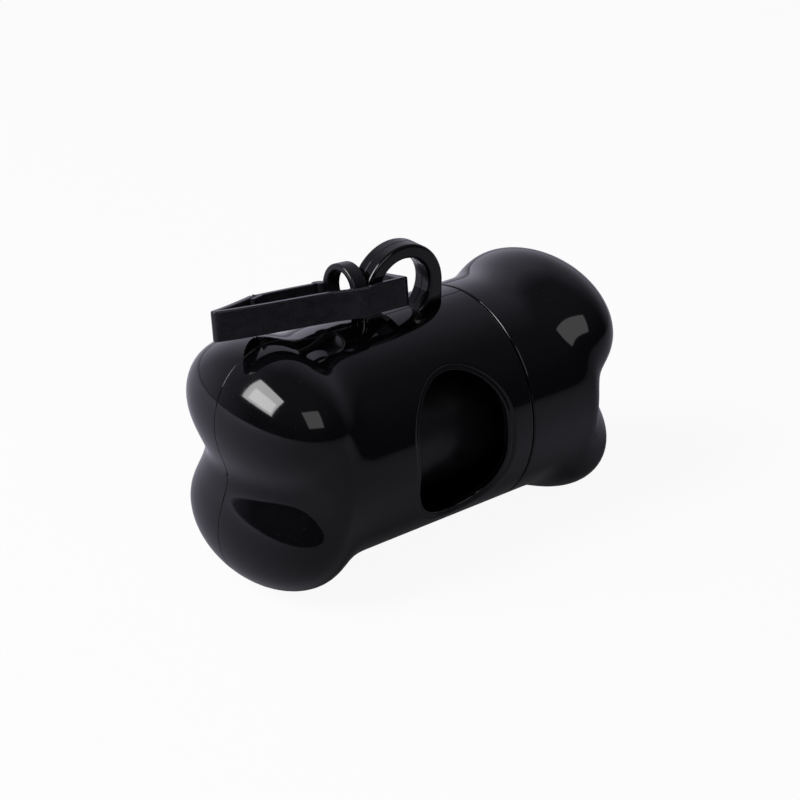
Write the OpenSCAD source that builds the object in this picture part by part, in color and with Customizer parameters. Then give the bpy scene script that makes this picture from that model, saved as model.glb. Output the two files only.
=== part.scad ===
// Bone-shaped waste bag dispenser: a barrel with a two-lobed end welded from two half
// shells, a screw cap that carries the other two lobes, a bag roll, and a snap clip
// that hangs in the eye on top.  X runs along the bone, Z is up, the lobes stand on z = 0.

/* [Barrel] */
// Outer diameter of the barrel
barrel_d = 40; // [36:0.5:46]
// Wall thickness of the shells
wall = 1.8; // [1.4:0.1:2.4]
// Distance from the middle of the bone to the parting plane of the cap
parting_x = 12.5; // [12:0.5:14]
// Gap between barrel and closed cap
parting_gap = 0.3; // [0.2:0.05:0.5]

/* [Bone ends] */
// Distance from the middle of the bone to the middle of a lobe
lobe_x = 29.8; // [28:0.2:34]
// Height of a lobe's middle above or below the barrel axis
lobe_z = 10.4; // [9:0.2:12]
// Lobe radius along the bone
lobe_rx = 11; // [10:0.2:13]
// How far a lobe stays inside the barrel's outline, at the front and back
lobe_inset = 2.2; // [1:0.2:4]
// How far the lobes rise above the barrel, before the blend
lobe_rise = 2.2; // [1:0.2:3.4]
// Distance from the middle of the bone to the start of the domed barrel end
dome_x = 25.5; // [24:0.5:28]
// Length of the domed barrel end
dome_len = 10; // [8:0.5:12]
// Reach of the soft blend between the lobes, and between lobes and barrel
blend = 8; // [5:0.5:9]

/* [Window] */
// Width of the dispensing window along the bone
window_w = 22.6; // [16:0.2:23]
// Height of the dispensing window
window_h = 28.2; // [24:0.2:30]
// Middle of window and hanger eye along the bone
window_x = -2; // [-3:0.5:-1]
// Height of the window's middle above the barrel axis
window_z = 1.5; // [0:0.5:2]
// Depth of the step round the window's outer rim
rim_step = 0.6; // [0.3:0.1:0.8]
// Width of the step round the window's outer rim
rim_width = 0.9; // [0.5:0.1:1.2]

/* [Hanger eye] */
// Outer diameter of the eye
eye_d = 15.8; // [14:0.2:17]
// Diameter of the hole in the eye
eye_hole_d = 11; // [10.8:0.1:11.6]
// Thickness of the eye
eye_t = 3.4; // [2.8:0.1:3.6]
// Height of the eye's middle above the barrel's top
eye_rise = 5.5; // [5.4:0.1:6.5]
// Bevel round the edges of the eye
eye_bevel = 0.5; // [0.2:0.1:0.8]

/* [Threaded neck] */
// Distance from the barrel's surface in to the root of the neck's thread
neck_step = 3.8; // [3.6:0.05:4]
// Wall of the neck at the root of its thread
neck_wall = 1.3; // [1.2:0.1:2.2]
// Length of the neck past the parting plane
neck_len = 9.5; // [8:0.5:11]
// Thickness of the flange that the shells hold in their groove
flange_t = 1.7; // [1.4:0.1:1.9]
// Depth of the groove for the flange
groove_depth = 0.5; // [0.3:0.1:0.6]
// Radial gap for the thread between neck and sleeve
thread_gap = 0.65; // [0.55:0.05:0.75]
// Radial clearance of pieces that are seated in a shell
seat_gap = 0.05; // [0.03:0.01:0.1]
// Thickness of the rib that carries the far end of the roll
rib_t = 1.6; // [1.2:0.1:2.4]

/* [Bag roll] */
// Outer diameter of the roll of bags
roll_d = 24; // [18:0.5:27]
// Length of the roll of bags
roll_len = 55; // [50:0.5:55]
// Outer diameter of the core tube
core_d = 10; // [8:0.5:12]
// Wall of the core tube
core_wall = 1; // [0.6:0.1:1.4]
// Gap under the roll where it lies in the neck
roll_gap = 0.3; // [0.2:0.05:0.4]

/* [Locating posts] */
// Diameter of the posts inside the lobes
post_d = 4.4; // [4:0.1:4.6]
// Diameter of the locating pins
pin_d = 2.2; // [1.8:0.1:2.4]
// Length of the locating pins
pin_len = 3; // [2:0.5:4]
// Radial clearance of the pins in their sockets
pin_gap = 0.1; // [0.05:0.05:0.15]

/* [Clip] */
// Height of the clip's band
band_h = 5.6; // [5:0.1:5.8]
// Thickness of the clip's band
band_t = 1.2; // [1:0.1:1.3]
// Length of the clip from the middle of the eye to its nose
clip_len = 37; // [35:0.2:38]
// Distance from the clip's middle plane to the front run, at the eye
front_run = 3.9; // [3.8:0.1:4.3]
// Distance from the clip's middle plane to the rear run, at the eye
rear_run = 4.9; // [4.6:0.1:5.4]
// Distance from the clip's middle plane to the rear run, at the nose end of the gate
rear_bulge = 7.2; // [6.8:0.1:7.4]
// Height left off the lower edge of the rear run, to clear the lobe under it
rear_cut = 0.5; // [0.4:0.1:0.8]
// Outer diameter of the clip's ring
ring_d = 8.9; // [8.7:0.1:9.1]
// Diameter of the hole in the clip's ring
ring_hole_d = 6.4; // [6:0.1:6.6]
// Width of the clip's ring
ring_w = 3; // [2.6:0.1:3]
// Radius of the gate's knuckle
knuckle_r = 0.75; // [0.7:0.05:0.8]
// Slot between the gate and the nose
gate_gap = 0.3; // [0.2:0.05:0.4]
// Tilt of the clip, nose up
clip_tilt = 4; // [4:0.5:6]
// Lean of the clip towards the back of the barrel
clip_lean = 12; // [10:0.5:12]

/* [Hidden] */
$fn = 96;
plastic = [0.06, 0.06, 0.07];

barrel_r = barrel_d / 2;
bore_r = barrel_r - wall;
lobe_r = [lobe_rx, barrel_r - lobe_inset, barrel_r + lobe_rise - lobe_z];
blend_x = 14.5;                     // the barrel is a plain cylinder between -blend_x and blend_x
lap = 1;                            // how far the lofted ends reach into the plain barrel
sink = 0.02;                        // how far they stay under its surface there
fan_x = 27;                         // past this distance the loft fans out from one point
fans = 11;
rings = 7;
eps = 0.01;

eye_z = barrel_r + eye_rise;        // above the barrel's axis
neck_r = barrel_r - neck_step;
neck_bore_r = neck_r - neck_wall;
neck_end = parting_x + neck_len;
sleeve_in_r = neck_r + thread_gap;
sleeve_out_r = bore_r - seat_gap;
sleeve_x0 = parting_x + parting_gap + 0.2;
sleeve_x1 = neck_end + 0.5;
roll_z = -(neck_bore_r - roll_d / 2 - roll_gap);
roll_x0 = -28;
rib_x = -16.6;
post_x = -lobe_x - 1.7;
post_z = lobe_z + 1;
groove_x1 = parting_x - 0.5;
groove_x0 = groove_x1 - flange_t;

// ---- the outline of the bone, as a signed distance ------------------------------------

function squash(q, r, n) = norm([q.x / pow(r.x, n), q.y / pow(r.y, n), q.z / pow(r.z, n)]);
function ellipsoid(q, r) =
    let (a = squash(q, r, 1), b = squash(q, r, 2)) a * (a - 1) / max(b, 0.000001);
function soft_min(a, b, k) = let (h = max(k - abs(a - b), 0) / k) min(a, b) - pow(h, 3) * k / 6;
function lobe(x, y, z) = ellipsoid([x - lobe_x, y, z - lobe_z], lobe_r);
function bone(p) =
    soft_min(soft_min(lobe(p.x, p.y, p.z), lobe(p.x, p.y, -p.z), blend),
             ellipsoid([max(p.x - dome_x, 0), p.y, p.z], [dome_len, barrel_r, barrel_r]), blend);

// distance from o along d at which the bone's surface, moved out by level, is reached
function reach(o, d, level, lo = 0, hi = 2 * barrel_r, n = 20) =
    n == 0 ? (lo + hi) / 2
    : let (m = (lo + hi) / 2)
      bone(o + m * d) < level ? reach(o, d, level, m, hi, n - 1) : reach(o, d, level, lo, m, n - 1);
function on_bone(o, d, level) = o + reach(o, d, level) * d;

// rows of points: a fan of rays round the end, then rings down to x_end
function end_rows(level, angles, x_end, fan_steps, ring_steps) = concat(
    [for (i = [1 : fan_steps]) let (a = 90 * i / fan_steps)
        [for (t = angles) on_bone([fan_x, 0, 0], [cos(a), sin(a) * cos(t), sin(a) * sin(t)], level)]],
    [for (i = [1 : ring_steps]) let (x = fan_x + (x_end - fan_x) * i / ring_steps)
        [for (t = angles) on_bone([x, 0, 0], [0, cos(t), sin(t)], level)]]);
function plain_ring(x, r, angles) = [for (t = angles) [x, r * cos(t), r * sin(t)]];
function tip(level) = on_bone([fan_x, 0, 0], [1, 0, 0], level);
function flat(rows) = [for (row = rows) each row];

// height of the barrel's axis above the ground that the lobes stand on
axis_z = max([for (p = flat(end_rows(0, [90], blend_x + 1.6, fans, rings))) p.z]);

// triangles between neighbouring rows of n points, starting at point number s
function strip(s, rows, n, closed) =
    [for (i = [0 : rows - 2], j = [0 : n - (closed ? 1 : 2)])
        let (a = s + i * n + j, b = s + i * n + (j + 1) % n, c = a + n, d = b + n)
        each [[a, b, d], [a, d, c]]];
function fan(pole, s, n, closed) =
    [for (j = [0 : n - (closed ? 1 : 2)]) [pole, s + (j + 1) % n, s + j]];
function turned(faces) = [for (f = faces) [f[0], f[2], f[1]]];

// half of the hollow lobed end, on the +Y side, growing towards +X from blend_x
module half_end() {
    angles = [for (i = [0 : 30]) 6 * i - 90];
    n = len(angles);
    outer = concat(end_rows(0, angles, blend_x + 1.6, fans, rings),
                   [plain_ring(blend_x, barrel_r - sink, angles),
                    plain_ring(blend_x - lap, barrel_r - sink, angles)]);
    inner = concat(end_rows(-wall, angles, blend_x + 1.6, fans, rings),
                   [plain_ring(blend_x, bore_r + sink, angles),
                    plain_ring(blend_x - lap, bore_r + sink, angles)]);
    rows = len(outer);
    o = 1;
    i0 = rows * n + 2;
    last = (rows - 1) * n;
    seam = [for (c = [0, n - 1]) concat(
        [for (i = [-1 : rows - 2])
            let (a = i < 0 ? 0 : o + i * n + c, b = o + (i + 1) * n + c,
                 p = i < 0 ? i0 - 1 : i0 + i * n + c, q = i0 + (i + 1) * n + c)
            each c == 0 ? [[a, b, q], [a, q, p]] : [[a, q, b], [a, p, q]]])];
    mouth = [for (j = [0 : n - 2])
        let (a = o + last + j, b = i0 + last + j) each [[a, a + 1, b + 1], [a, b + 1, b]]];
    polyhedron(
        points = concat([tip(0)], flat(outer), [tip(-wall)], flat(inner)),
        faces = concat(fan(0, o, n, false), strip(o, rows, n, false),
                       turned(fan(i0 - 1, i0, n, false)), turned(strip(i0, rows, n, false)),
                       flat(seam), mouth),
        convexity = 6);
}

// solid lobed end at a level of the bone's surface, closed by a flat face at x_end
module full_end(level, x_end, columns, fan_steps, ring_steps, plain) {
    angles = [for (i = [0 : columns - 1]) 360 * i / columns];
    rows = concat(end_rows(level, angles, plain ? x_end + 1.6 : x_end, fan_steps, ring_steps),
                  plain ? [plain_ring(x_end, barrel_r - sink, angles),
                           plain_ring(x_end - lap, barrel_r - sink, angles)] : []);
    n = columns;
    polyhedron(
        points = concat([tip(level)], flat(rows)),
        faces = concat(fan(0, 1, n, true), strip(1, len(rows), n, true),
                       [[for (j = [0 : n - 1]) 1 + (len(rows) - 1) * n + j]]),
        convexity = 4);
}

// ---- helpers ---------------------------------------------------------------------------

module at_axis() translate([0, 0, axis_z]) children();

module tube_x(x0, x1, r_out, r_in)
    translate([x0, 0, 0]) rotate([0, 90, 0]) difference() {
        cylinder(h = x1 - x0, r = r_out);
        translate([0, 0, -1]) cylinder(h = x1 - x0 + 2, r = r_in);
    }

module rod_x(x0, x1, r) translate([x0, 0, 0]) rotate([0, 90, 0]) cylinder(h = x1 - x0, r = r);

// a rod along Y from y0 to y1
module rod_y(x, z, y0, y1, r)
    translate([x, y1, z]) rotate([90, 0, 0]) cylinder(h = y1 - y0, r = r);

// the half space on one side of the seam
module half_space(side)
    translate([-100, side > 0 ? 0 : -100, -100]) cube([200, 100, 200]);

// upright slot with round ends, cut along Y
module window_slot(grow, y0, y1) {
    r = window_w / 2 + grow;
    straight = window_h / 2 - window_w / 2;
    for (s = [-1, 1]) rod_y(window_x, window_z + s * straight, y0, y1, r);
    translate([window_x - r, y0, window_z - straight]) cube([2 * r, y1 - y0, 2 * straight]);
}

// ---- body shells -----------------------------------------------------------------------

module eye_plate() {
    r = eye_d / 2;
    difference() {
        union() {
            for (s = [-1, 1]) translate([window_x, 0, eye_z]) rotate([90 * s, 0, 0]) {
                cylinder(h = eye_t / 2 - eye_bevel, r = r);
                translate([0, 0, eye_t / 2 - eye_bevel])
                    cylinder(h = eye_bevel, r1 = r, r2 = r - eye_bevel);
            }
            translate([window_x - r, -eye_t / 2 + eye_bevel, barrel_r - wall / 2])
                cube([2 * r, eye_t - 2 * eye_bevel, eye_rise + wall / 2]);
            translate([window_x - r + eye_bevel, -eye_t / 2, barrel_r - wall / 2])
                cube([2 * r - 2 * eye_bevel, eye_t, eye_rise + wall / 2]);
        }
        rod_y(window_x, eye_z, -eye_t, eye_t, eye_hole_d / 2);
    }
}

// everything that both half shells share, on the side given
module half_shell(side) difference() {
    union() {
        rotate([side > 0 ? 180 : 0, 0, 180]) half_end();
        intersection() {
            union() {
                tube_x(-blend_x, parting_x, barrel_r, bore_r);
                tube_x(rib_x, rib_x + rib_t, bore_r + wall / 2, neck_bore_r);
                eye_plate();
            }
            half_space(side);
        }
        for (s = [-1, 1]) post(side, s);
    }
    rod_x(groove_x0, groove_x1, bore_r + groove_depth);
}

module post(side, s) {
    y_end = lobe_r.y - wall + 0.1;
    rod_y(post_x, s * post_z, side > 0 ? 0 : -y_end, side > 0 ? y_end : 0, post_d / 2);
}

module front_shell() color(plastic) at_axis() difference() {
    half_shell(-1);
    window_slot(0, -barrel_r - 1, -bore_r / 4);
    difference() {
        window_slot(rim_width, -barrel_r - 1, -bore_r / 4);
        rod_x(-barrel_d, barrel_d, barrel_r - rim_step);
    }
    for (s = [-1, 1]) rod_y(post_x, s * post_z, -pin_len - 0.5, 1, pin_d / 2 + pin_gap);
}

module rear_shell() color(plastic) at_axis() {
    half_shell(1);
    for (s = [-1, 1]) rod_y(post_x, s * post_z, -pin_len, 1, pin_d / 2);
}

// ---- neck and cap ----------------------------------------------------------------------

module neck_ring() color(plastic) at_axis() difference() {
    union() {
        rod_x(groove_x0 + seat_gap, groove_x1 - seat_gap, bore_r + groove_depth - seat_gap);
        rod_x(groove_x0 + seat_gap, parting_x, bore_r - seat_gap);
        rod_x(parting_x - eps, neck_end, neck_r);
    }
    rod_x(groove_x0 - 1, neck_end + 1, neck_bore_r);
}

module cap_shell() color(plastic) at_axis() difference() {
    union() {
        full_end(0, blend_x, 60, fans, rings, true);
        rod_x(parting_x + parting_gap, blend_x, barrel_r);
    }
    rod_x(parting_x + parting_gap - 2, sleeve_x1 + 0.3, bore_r);
    full_end(-wall, sleeve_x1 + 0.2, 40, 8, 2, false);
}

module cap_sleeve() color(plastic) at_axis() tube_x(sleeve_x0, sleeve_x1, sleeve_out_r, sleeve_in_r);

// ---- bag roll --------------------------------------------------------------------------

module roll_core() color([0.75, 0.74, 0.72]) at_axis() translate([0, 0, roll_z])
    tube_x(roll_x0 - 0.5, roll_x0 + roll_len + 0.5, core_d / 2, core_d / 2 - core_wall);

module bag_roll() color([0.1, 0.1, 0.12]) at_axis() translate([0, 0, roll_z])
    tube_x(roll_x0, roll_x0 + roll_len, roll_d / 2, core_d / 2 + seat_gap);

// ---- clip ------------------------------------------------------------------------------

// frame of the clip: x from the eye's middle, y across the band, z along its height
clip_z = eye_z - 1.5;               // height of the band's middle above the axis
end_x = -0.6;                       // right end of the clip
closure_t = 1.6;                    // bar that goes through the eye
ring_x = -11.3;                     // left face of the ring
ring_y = 1.9;
ring_z = 1.75;
ring_rear = ring_y + ring_d / 2;
bump_y = front_run + 1.2;           // the front run stands out here, beside the ring
bump_x0 = -12.3;
bump_x1 = -8.3;
nose_r = 0.9;
nose = [nose_r - clip_len, 1.7];
hinge = [ring_x - 1, ring_rear - 0.5];
socket_r = knuckle_r + 0.5;
nose_end = [-25.85, rear_bulge];
gate_bevel = 0.65;                  // slope of the gate's end face

function cubic(p, t) = let (u = 1 - t)
    u * u * u * p[0] + 3 * u * u * t * p[1] + 3 * u * t * t * p[2] + t * t * t * p[3];
function curve(p, n) = [for (i = [0 : n]) cubic(p, i / n)];
function unit(v) = v / norm(v);
function inward(v) = [v.y, -v.x];
function side_of(line, i) = inward(unit(line[min(i + 1, len(line) - 1)] - line[max(i - 1, 0)]));
function band_outline(line, t) =
    concat(line, [for (i = [len(line) - 1 : -1 : 0]) line[i] + t * side_of(line, i)]);

front_line = concat(
    [[end_x, -front_run], [bump_x1 + 1, -front_run - 0.4], [bump_x1, -bump_y]],
    curve([[bump_x0, -bump_y], [-16, -2.1], [-27, -2.4], nose + [-0.2, -nose_r + 0.03]], 12));
nose_line = curve([nose + [-0.5, 0.75], nose + [2.6, 1.7], nose_end - [4.1, 2.1], nose_end], 8);
stub_line = [[ring_x, ring_rear], [ring_x + ring_w, ring_rear - 0.1],
             [ring_x + ring_w + 1, rear_run + 0.3], [end_x, rear_run]];
nose_dir = unit(nose_line[8] - nose_line[7]);
nose_in = inward(nose_dir);
gate_line = curve([nose_end + 0.2 * nose_in, nose_end + [4.5, -0.2], hinge + [-6, 1],
                   hinge + [-1.6, 0.5]], 8);

module at_clip()
    translate([window_x, 0, axis_z + clip_z]) rotate([-clip_lean, clip_tilt, 0]) children();
module upright(low = 0) translate([0, 0, low - band_h / 2]) linear_extrude(band_h - low) children();
module post_at(p, r, h = band_h) translate([p.x, p.y, -h / 2]) cylinder(h = h, r = r);

module clip_frame() color(plastic) at_clip() difference() {
    union() {
        for (line = [front_line, stub_line]) upright() polygon(band_outline(line, band_t));
        upright(rear_cut) polygon(band_outline(nose_line, band_t));
        translate([end_x - closure_t, -front_run, -band_h / 2])
            cube([closure_t, front_run + rear_run, band_h]);
        post_at(nose, nose_r);
        translate([0, ring_y, ring_z]) rod_x(ring_x, ring_x + ring_w, ring_d / 2);
        post_at(hinge, socket_r);
    }
    translate([0, ring_y, ring_z]) rod_x(ring_x - 0.05, ring_x + ring_w + 1, ring_hole_d / 2);
    post_at(hinge, knuckle_r + seat_gap, band_h + 2);
    // mouth of the knuckle's socket, wide enough for the gate's neck over its whole swing
    translate([hinge.x - 4, hinge.y - 0.75, -band_h / 2 - 1]) cube([4, 1.2, band_h + 2]);
}

module clip_gate() color(plastic) at_clip() difference() {
    union() {
        upright(rear_cut) polygon(band_outline(gate_line, band_t));
        upright(rear_cut) polygon([hinge + [0, 0.35], hinge + [0, -0.35], hinge + [-2, -0.45], hinge + [-2, 0.4]]);
        upright(rear_cut) polygon([for (c = [[1.2, 0], [-2.4, 0], [-2.4, 0.8], [1.2, 0.8]])
            nose_end + c[0] * nose_dir + (band_t + gate_gap + c[1]) * nose_in]);
        post_at(hinge, knuckle_r);
    }
    // room for the end of the nose, bevelled so that the gate swings in past it
    translate([0, 0, -band_h / 2 - 1]) linear_extrude(band_h + 2)
        polygon([for (c = [[-4, -2], [gate_gap + gate_bevel * (band_t + 2), -2], [gate_gap, band_t],
                           [gate_gap, band_t + gate_gap], [-4, band_t + gate_gap]])
            nose_end + c[0] * nose_dir + c[1] * nose_in]);
}

front_shell();
rear_shell();
neck_ring();
cap_shell();
cap_sleeve();
roll_core();
bag_roll();
clip_frame();
clip_gate();
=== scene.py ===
# %% [markdown]
# # A bone-shaped waste bag dispenser
# This lesson dresses a working model of a small dispenser for dog waste bags: two welded half
# shells, a screw cap, a roll of film bags and a snap clip.  The working model is loaded first and
# is never changed.  Every piece made here is told which of its bodies it rides on.
# The whole object is glossy black plastic, so almost everything the eye sees is a reflection.
# Smooth surfaces and the places of the lights matter more here than colour does.

# %% Load the working model
import math
import bpy
import numpy as np
from mathutils import Matrix, Vector


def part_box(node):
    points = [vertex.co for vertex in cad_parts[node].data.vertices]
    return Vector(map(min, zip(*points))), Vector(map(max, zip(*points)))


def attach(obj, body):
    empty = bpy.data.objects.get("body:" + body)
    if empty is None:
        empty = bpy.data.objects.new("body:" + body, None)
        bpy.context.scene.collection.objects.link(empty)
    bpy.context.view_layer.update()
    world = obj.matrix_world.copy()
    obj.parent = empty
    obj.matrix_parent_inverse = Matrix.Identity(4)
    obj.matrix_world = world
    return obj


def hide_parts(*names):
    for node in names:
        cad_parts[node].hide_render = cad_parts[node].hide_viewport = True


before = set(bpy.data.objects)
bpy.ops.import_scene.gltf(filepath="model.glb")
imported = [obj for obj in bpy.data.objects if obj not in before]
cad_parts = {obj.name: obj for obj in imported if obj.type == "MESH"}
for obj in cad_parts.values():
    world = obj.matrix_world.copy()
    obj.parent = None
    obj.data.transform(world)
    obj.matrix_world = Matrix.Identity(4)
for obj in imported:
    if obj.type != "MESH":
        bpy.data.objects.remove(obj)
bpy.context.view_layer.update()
MM = 0.001
sleeve_low, sleeve_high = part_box("cap_sleeve")
AXIS_Z = (sleeve_low.z + sleeve_high.z) / 2 / MM
print("barrel axis is", round(AXIS_Z, 2), "mm above the ground")

# %% [markdown]
# ## Camera
# The camera's place was worked out from the outline of the bone.  It looks down by 27 degrees
# from the front left.  Azimuth is measured from the -Y axis, towards -X.

# %% Camera
azimuth, elevation, roll = (math.radians(a) for a in (39.661, 26.664, 0.738))
distance = 349.88
picture = 800
sensor = 36
focal_px = 1977.518
shift_px = Vector((5.225, 11.575))

back = Vector((-math.sin(azimuth) * math.cos(elevation),
               -math.cos(azimuth) * math.cos(elevation), math.sin(elevation)))
camera = bpy.data.objects.new("camera", bpy.data.cameras.new("camera"))
bpy.context.scene.collection.objects.link(camera)
camera.matrix_world = (Matrix.Translation((back * distance + Vector((0, 0, AXIS_Z))) * MM)
                       @ back.to_track_quat("Z", "Y").to_matrix().to_4x4()
                       @ Matrix.Rotation(roll, 4, "Z"))
camera.data.sensor_width = sensor
camera.data.lens = focal_px * sensor / picture
camera.data.shift_x = -shift_px.x / picture
camera.data.shift_y = shift_px.y / picture
camera.data.clip_start = 0.01
bpy.context.scene.camera = camera
print("the camera stands", round(distance), "mm from the barrel's middle")

# %% [markdown]
# ## Shapes from rows of points
# A moulded surface is easiest to control as rows of points, each with the direction that the
# surface faces there.  Blender can use such directions as they are, so a reflection runs smoothly
# over the surface however the faces lie.  Skin collects several such grids into one piece.

# %% A skin made of grids
class Skin:
    """Grids of points and of the directions the surface faces there, gathered for one piece."""

    def __init__(self):
        self.points, self.facing, self.faces = [], [], []

    def grid(self, points, facing, closed=False):
        """Adds rows x columns of points in mm, with the surface's direction at each."""
        points, facing = np.asarray(points, float), np.asarray(facing, float)
        facing = facing / np.linalg.norm(facing, axis=-1, keepdims=True)
        rows, cols = points.shape[:2]
        start = len(self.points)
        across = np.arange(cols if closed else cols - 1)
        quads = []
        for r in range(rows - 1):
            a, b = start + r * cols + across, start + r * cols + (across + 1) % cols
            quads.append(np.stack([a, b, b + cols, a + cols], axis=1))
        quads = np.concatenate(quads)
        flat = points.reshape(-1, 3)
        corner = flat[quads - start]
        normal = np.cross(corner[:, 2] - corner[:, 0], corner[:, 3] - corner[:, 1])
        if (normal * facing.reshape(-1, 3)[quads[:, 0] - start]).sum() < 0:
            quads = quads[:, ::-1]
        self.points.extend(flat.tolist())
        self.facing.extend(facing.reshape(-1, 3).tolist())
        self.faces.extend(quads.tolist())

    def lid(self, ring, facing):
        """Closes a ring of points with one flat face."""
        start, ring = len(self.points), np.asarray(ring, float)
        order = np.arange(len(ring)) + start
        normal = np.cross(ring, np.roll(ring, -1, axis=0)).sum(axis=0)
        self.points.extend(ring.tolist())
        self.facing.extend([list(facing)] * len(ring))
        self.faces.append((order if np.dot(normal, facing) > 0 else order[::-1]).tolist())

    def piece(self, name, body, *replaced, slot=None, place=None):
        """Makes the object; place is a 4x4 matrix from the skin's own mm to the bone's mm."""
        points, facing = np.array(self.points), np.array(self.facing)
        if place is not None:
            points = points @ place[:3, :3].T + place[:3, 3]
            facing = facing @ place[:3, :3].T
        points = (points + [0, 0, AXIS_Z]) * MM
        mesh = bpy.data.meshes.new(name)
        mesh.from_pydata(points.tolist(), [], self.faces)
        mesh.normals_split_custom_set_from_vertices(facing.tolist())
        thing = bpy.data.objects.new(name, mesh)
        bpy.context.scene.collection.objects.link(thing)
        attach(thing, body)
        if replaced:
            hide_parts(*replaced)
        print(name, len(points), "points,", len(self.faces), "faces")
        return thing

# %% [markdown]
# ## The form of the bone
# The bone is three rounded bodies that melt into each other: two flattened balls, one above the
# other, and a domed barrel.  Each is a distance: negative inside, positive outside.  Taking the
# smaller of two distances joins two bodies, and rounding that choice over a few millimetres gives
# the soft valleys.  The right half mirrors the left, but the upper left ball sits a little lower.

# %% The bone as a distance
BARREL_R = 20.0
WALL = 1.8
LOBE = np.array([29.9, 0.0, 10.5])
LOBE_R = np.array([10.5, 18.15, 11.82])
LEFT_DROP = 0.85                    # how much lower the upper left ball sits
DOME_X, DOME_LEN = 27.1, 6.8
BALL_BLEND, BARREL_BLEND = 10.4, 5.0
TIP_X = 27.0                        # rays fan out from here to reach the rounded end
REACH, HALVINGS = 40.0, 34          # a ray's length, and how often it is halved to find the skin
SLOPE_STEP = 0.01                   # how far to either side a slope is taken


def ellipsoid(offset, radii):
    """Close to the distance from an ellipsoid."""
    near = np.sqrt(((offset / radii) ** 2).sum(axis=-1))
    far = np.sqrt(((offset / radii ** 2) ** 2).sum(axis=-1))
    return near * (near - 1) / np.maximum(far, 1e-6)


def melt(a, b, blend):
    """The smaller of two distances, rounded over where they are nearly the same."""
    close = np.maximum(blend - np.abs(a - b), 0) / blend
    return np.minimum(a, b) - close ** 3 * blend / 6


def bone(p):
    """How far points p lie outside the bone's surface."""
    x, y, z = np.abs(p[..., 0]), p[..., 1], p[..., 2]
    drop = np.where(p[..., 0] < 0, LEFT_DROP, 0.0)
    upper = ellipsoid(np.stack([x, y, z + drop], -1) - LOBE, LOBE_R)
    lower = ellipsoid(np.stack([x, y, -z], -1) - LOBE, LOBE_R)
    dome = ellipsoid(np.stack([np.maximum(x - DOME_X, 0), y, z], -1),
                     np.array([DOME_LEN, BARREL_R, BARREL_R]))
    return melt(melt(upper, lower, BALL_BLEND), dome, BARREL_BLEND)


def surface(origin, ray, level):
    """Points where rays meet the bone's surface moved out by level, and the way it faces there."""
    origin, ray, level = (np.asarray(v, float) for v in (origin, ray, level))
    low, high = np.zeros(ray.shape[:-1]), np.full(ray.shape[:-1], REACH)
    for _ in range(HALVINGS):
        middle = (low + high) / 2
        inside = bone(origin + middle[..., None] * ray) < level
        low, high = np.where(inside, middle, low), np.where(inside, high, middle)
    p = origin + low[..., None] * ray
    slope = np.stack([bone(p + s) - bone(p - s) for s in SLOPE_STEP * np.eye(3)], axis=-1)
    return p, slope / np.linalg.norm(slope, axis=-1, keepdims=True)


def rays(turn, side=1, along=0.0, out=1.0):
    """Rays at angles turn from straight up, towards +Y or, with side -1, towards -Y."""
    return np.stack([along + 0 * turn, out * side * np.sin(turn), out * np.cos(turn)], axis=-1)


def around(x, turn, level=0.0, side=1):
    """Surface points at stations x and at angles turn from straight up."""
    x, turn = np.broadcast_arrays(np.asarray(x, float), np.asarray(turn, float))
    return surface(np.stack([x, 0 * x, 0 * x], axis=-1), rays(turn, side), level)

# %% [markdown]
# ## The half shells
# The body is moulded as a front and a rear half that are welded along the middle.  The edge of
# each half is slightly rounded, so the joint shows as a fine dark line.  The columns of points
# crowd together there to draw that rounding, and the rows fan out over the rounded end.

# %% Columns and rows of a half shell
SEAM = 0.16                         # radius of the rounded edge along the weld
seam_steps = np.array([0.0, 0.012, 0.04, 0.09, SEAM])
between_steps = np.array([0.3, 0.62])   # columns from the rounded edge to the even ones
BESIDE_SEAM = len(seam_steps) + len(between_steps)
PLAIN_X = 15.0                      # the plain barrel starts here
FLAT = math.radians(10)             # strip beside the seam that the window patch leaves out
FAN_FROM, CAP_FAN_FROM = math.radians(0.4), math.radians(1.5)   # a fan starts just off its pole
EVEN_COLUMNS, CAP_COLUMNS = 64, 180


def columns(row_radius):
    """Angles of the columns of one row, close together at the seam on top and underneath."""
    edge = np.arcsin(np.minimum(seam_steps / row_radius, 0.5))
    first = max(FLAT, edge[-1] * 1.2)
    inner = np.linspace(first, math.pi - first, EVEN_COLUMNS + 1)
    between = edge[-1] + (inner[0] - edge[-1]) * between_steps
    return np.concatenate([edge, between, inner, math.pi - between[::-1], math.pi - edge[::-1]])


def seam_drop(p):
    """How deep the rounded edge lies at points p, and how far the surface leans over there."""
    to_edge = np.clip(1 - np.abs(p) / SEAM, 0, 1)
    return SEAM * (1 - np.sqrt(1 - to_edge ** 2)), to_edge


def edge_rows(x_rows, side, level, rounded, fan_rows=0):
    """Rows on one side of the seam: a fan over the end if asked, then rows at stations x_rows."""
    points, facing = [], []
    stations = [(-TIP_X, -math.cos(a), math.sin(a))
                for a in np.linspace(FAN_FROM, math.pi / 2, fan_rows)]
    for x, along, out in stations + [(x, 0.0, 1.0) for x in x_rows]:
        origin = np.array([x, 0, 0])
        first, _ = surface(origin, rays(np.array([0.0]), side, along, out), level)
        turn = columns(np.linalg.norm(first[0, 1:]))
        ray = rays(turn, side, along, out)
        p, n = surface(origin, ray, level)
        if rounded:
            drop, lean = seam_drop(p[:, 1])
            p, n = surface(origin, ray, level - drop)
            n = n * np.sqrt(1 - lean ** 2)[:, None] - side * lean[:, None] * np.array([0, 1.0, 0])
        points.append(p)
        facing.append(n)
    return np.array(points), np.array(facing)

# %% [markdown]
# ## The window
# The window is a straight cut through the round wall, so its edge lies on a curve.  Rings of
# points run from the edge of the patch to the rim, down its small step, go through the wall and
# spread out again on the inside.  The step gives the rim its two fine lines of light.

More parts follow.
